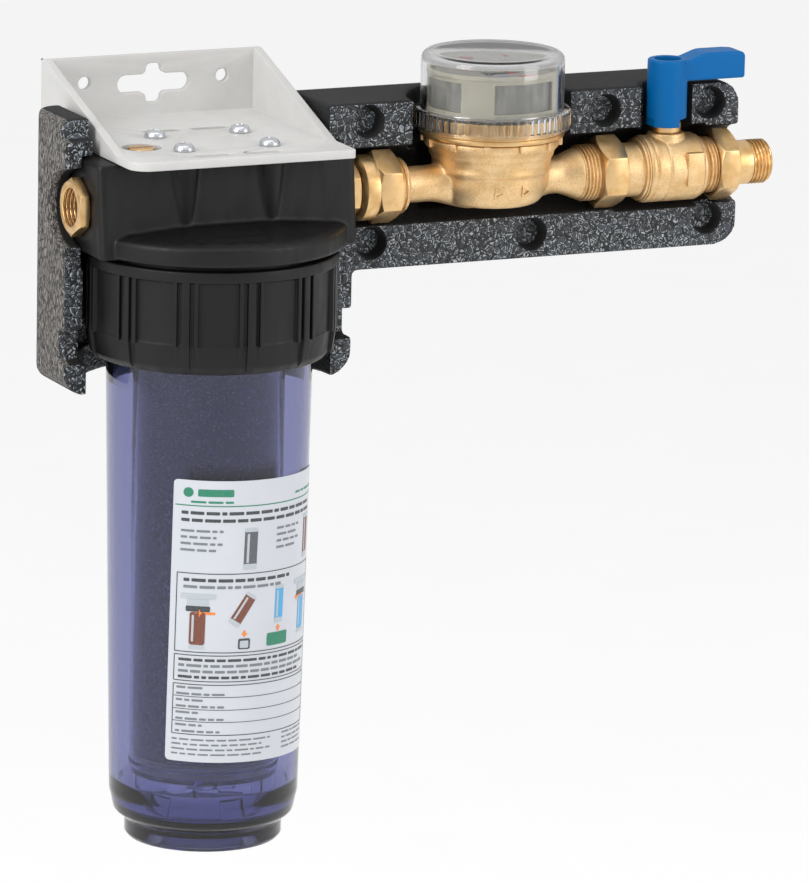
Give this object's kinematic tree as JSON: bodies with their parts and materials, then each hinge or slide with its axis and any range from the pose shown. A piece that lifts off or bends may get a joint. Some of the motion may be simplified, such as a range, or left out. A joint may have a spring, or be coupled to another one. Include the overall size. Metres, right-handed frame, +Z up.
{
  "type": "demineralisation cartridge filter",
  "caption": "Wall-mounted boiler filling filter: clear bowl with resin cartridge, ring nut, bracket, water meter and ball valve in a foam rear shell.",
  "frame": {"origin": "wall face of the bracket's back plate, on the filter's centre plane, 14 mm below the centre of the cross-shaped slot", "axes": "+X along the pipe with the flow, from the filter to the outlet tail; +Y into the wall, square to the bracket's wall face; +Z up, along the filter's axis"},
  "size_m": [0.3539, 0.1349, 0.3594],
  "materials": {
    "foam": "matte",
    "bracket_white": "satin",
    "zinc_steel": "satin",
    "housing_black": "satin",
    "brass": "satin",
    "cast_brass": "matte",
    "rubber": "matte",
    "fibre_gasket": "matte",
    "bowl_clear_blue": "gloss",
    "meter_clear": "gloss",
    "cartridge_clear": "gloss",
    "resin_beads": "matte",
    "filter_felt": "matte",
    "label_paper": "satin",
    "register_cream": "satin",
    "dial_face": "satin",
    "register_dark": "satin",
    "pointer_red": "satin",
    "white_plastic": "satin",
    "chrome": "polished",
    "handle_blue": "satin"
  },
  "bodies": {
    "wall_unit": {"epp_rear_shell": "foam", "wall_bracket": "bracket_white", "bracket_screw_1": "zinc_steel", "bracket_screw_2": "zinc_steel", "bracket_screw_3": "zinc_steel", "bracket_screw_4": "zinc_steel", "filter_head": "housing_black", "head_rim": "housing_black", "head_skirt": "housing_black", "head_spigot": "housing_black", "vent_seal": "rubber", "inlet_insert": "brass", "inlet_union_tail": "brass", "inlet_union_gasket": "fibre_gasket", "meter_body": "cast_brass", "meter_strainer": "white_plastic", "impeller_pin": "chrome", "meter_cup_ring": "brass", "meter_separator": "cast_brass", "meter_clamp_ring": "meter_clear", "mid_union_gasket": "fibre_gasket", "valve_end_piece": "cast_brass", "valve_body": "cast_brass", "valve_seat_inlet": "white_plastic", "valve_seat_outlet": "white_plastic", "stem_packing": "white_plastic", "stem_gland": "brass", "outlet_union_gasket": "fibre_gasket", "outlet_tail": "brass"},
    "vent_plug": {"vent_screw": "brass"},
    "cartridge": {"cartridge_tube": "cartridge_clear", "cartridge_top_cap": "cartridge_clear", "cartridge_gasket": "rubber", "cartridge_bottom_cap": "cartridge_clear", "cartridge_resin": "resin_beads", "cartridge_pad_top": "filter_felt", "cartridge_pad_bottom": "filter_felt"},
    "bowl_unit": {"bowl": "bowl_clear_blue", "bowl_seal": "rubber", "bowl_label": "label_paper"},
    "ring_nut_body": {"ring_nut": "housing_black"},
    "inlet_nut_body": {"inlet_union_nut": "brass"},
    "mid_nut_body": {"mid_union_nut": "brass"},
    "outlet_nut_body": {"outlet_union_nut": "brass"},
    "impeller_body": {"meter_impeller": "white_plastic"},
    "register": {"meter_hood": "meter_clear", "register_case": "register_cream", "register_gear_block": "register_dark", "register_dial": "dial_face"},
    "pointer_body": {"register_pointer": "pointer_red"},
    "flow_star_body": {"register_flow_star": "pointer_red"},
    "valve_drive": {"valve_handle": "handle_blue", "handle_screw": "zinc_steel", "valve_stem": "brass", "valve_ball": "chrome"},
    "roller_1_body": {"register_roller_1": "register_dark"},
    "roller_2_body": {"register_roller_2": "register_dark"},
    "roller_3_body": {"register_roller_3": "register_dark"},
    "roller_4_body": {"register_roller_4": "pointer_red"}
  },
  "joints": [
    {"name": "vent_screw_turn", "type": "hinge", "parent": "wall_unit", "child": "vent_plug", "pos_m": [-0.036, -0.0766, -0.003], "axis": [0, 0, 1], "range_deg": [0, 540]},
    {"name": "cartridge_lower", "type": "slide", "parent": "wall_unit", "child": "cartridge", "axis": [0, 0, -1], "range_m": [0, 0.016]},
    {"name": "bowl_drop", "type": "slide", "parent": "cartridge", "child": "bowl_unit", "axis": [0, 0, -1], "range_m": [0, 0.26]},
    {"name": "ring_nut_turn", "type": "hinge", "parent": "bowl_unit", "child": "ring_nut_body", "pos_m": [0, -0.0736, -0.077], "axis": [0, 0, -1], "range_deg": [0, 1080]},
    {"name": "inlet_nut_turn", "type": "hinge", "parent": "wall_unit", "child": "inlet_nut_body", "pos_m": [0.08, -0.0736, -0.027], "axis": [-1, 0, 0], "range_deg": [0, 360]},
    {"name": "mid_nut_turn", "type": "hinge", "parent": "wall_unit", "child": "mid_nut_body", "pos_m": [0.1985, -0.0736, -0.027], "axis": [1, 0, 0], "range_deg": [0, 360]},
    {"name": "outlet_nut_turn", "type": "hinge", "parent": "wall_unit", "child": "outlet_nut_body", "pos_m": [0.2575, -0.0736, -0.027], "axis": [1, 0, 0], "range_deg": [0, 360]},
    {"name": "impeller_spin", "type": "hinge", "parent": "wall_unit", "child": "impeller_body", "pos_m": [0.14, -0.0736, -0.027], "axis": [0, 0, 1], "continuous": true},
    {"name": "register_swivel", "type": "hinge", "parent": "wall_unit", "child": "register", "pos_m": [0.14, -0.0736, 0.013], "axis": [0, 0, 1], "range_deg": [-175, 175]},
    {"name": "flow_star_spin", "type": "hinge", "parent": "register", "child": "flow_star_body", "pos_m": [0.13, -0.0646, 0.025], "axis": [0, 0, 1], "continuous": true},
    {"name": "pointer_spin", "type": "hinge", "parent": "register", "child": "pointer_body", "pos_m": [0.151, -0.0646, 0.025], "axis": [0, 0, -1], "continuous": true},
    {"name": "roller_4_spin", "type": "hinge", "parent": "register", "child": "roller_4_body", "pos_m": [0.146, -0.0806, 0.0205], "axis": [1, 0, 0], "continuous": true},
    {"name": "roller_3_spin", "type": "hinge", "parent": "register", "child": "roller_3_body", "pos_m": [0.142, -0.0806, 0.0205], "axis": [1, 0, 0], "continuous": true},
    {"name": "roller_2_spin", "type": "hinge", "parent": "register", "child": "roller_2_body", "pos_m": [0.138, -0.0806, 0.0205], "axis": [1, 0, 0], "continuous": true},
    {"name": "roller_1_spin", "type": "hinge", "parent": "register", "child": "roller_1_body", "pos_m": [0.134, -0.0806, 0.0205], "axis": [1, 0, 0], "continuous": true},
    {"name": "valve_handle_turn", "type": "hinge", "parent": "wall_unit", "child": "valve_drive", "pos_m": [0.2298, -0.0736, 0.003], "axis": [0, 0, -1], "range_deg": [0, 90]}
  ],
  "couplings": [
    {"joint": "cartridge_lower", "follows": "ring_nut_turn", "m_per_rad": 0.00079577},
    {"joint": "flow_star_spin", "follows": "impeller_spin", "ratio": 0.25},
    {"joint": "pointer_spin", "follows": "impeller_spin", "ratio": 0.05},
    {"joint": "roller_4_spin", "follows": "impeller_spin", "ratio": 0.005},
    {"joint": "roller_3_spin", "follows": "impeller_spin", "ratio": 0.0005},
    {"joint": "roller_2_spin", "follows": "impeller_spin", "ratio": 0.00005},
    {"joint": "roller_1_spin", "follows": "impeller_spin", "ratio": 0.000005}
  ]
}
